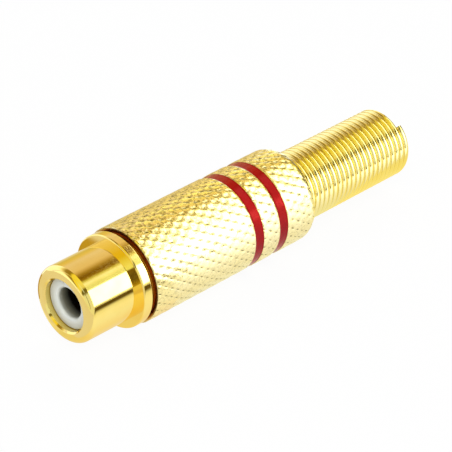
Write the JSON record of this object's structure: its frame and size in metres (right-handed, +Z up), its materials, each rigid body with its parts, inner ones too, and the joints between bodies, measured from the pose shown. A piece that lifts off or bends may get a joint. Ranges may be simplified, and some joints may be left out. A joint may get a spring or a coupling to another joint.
{
  "type": "inline phono socket",
  "caption": "In-line phono socket for a cable: a turned gold-plated socket with a knurled screw-on cover, red colour bands and a close-wound coil spring as cable relief.",
  "frame": {"origin": "middle of the mating face, on the connector's axis", "axes": "+X along the connector's axis from the mating face to the cable's end, +Z up as the connector lies on a table on its knurled cover, with the earth lug underneath"},
  "size_m": [0.0469, 0.0104, 0.0104],
  "materials": {
    "polished_gold": "gold plated, polished",
    "knurled_gold": "gold plated over a diamond knurl",
    "spring_gold": "gold plated drawn wire",
    "contact_gold": "gold plated, satin",
    "lug_gold": "gold plated sheet",
    "pale_insulator": "moulded, semi-gloss",
    "brown_board": "pressed board, matt",
    "sleeve_plastic": "thin milky sleeve",
    "red_lacquer": "glossy lacquer"
  },
  "bodies": {
    "socket": {"socket_shell": "polished_gold", "front_insulator": "pale_insulator", "centre_contact": "contact_gold", "rear_insulator": "brown_board", "ground_lug": "lug_gold"},
    "liner": {"insulating_sleeve": "sleeve_plastic"},
    "spring": {"relief_spring": "spring_gold"},
    "cover": {"knurled_cover": "knurled_gold", "front_band": "red_lacquer", "rear_band": "red_lacquer"}
  },
  "joints": [
    {"name": "cover_pull_off", "type": "slide", "parent": "socket", "child": "liner", "axis": [1, 0, 0], "range_m": [0, 0.025]},
    {"name": "thread_travel", "type": "slide", "parent": "liner", "child": "spring", "axis": [1, 0, 0], "range_m": [0, 0.0045]},
    {"name": "cover_turn", "type": "hinge", "parent": "spring", "child": "cover", "pos_m": [0, 0, 0], "axis": [1, 0, 0], "range_deg": [0, 2160]}
  ],
  "couplings": [
    {"joint": "cover_turn", "follows": "thread_travel", "rad_per_m": 8377.6}
  ]
}
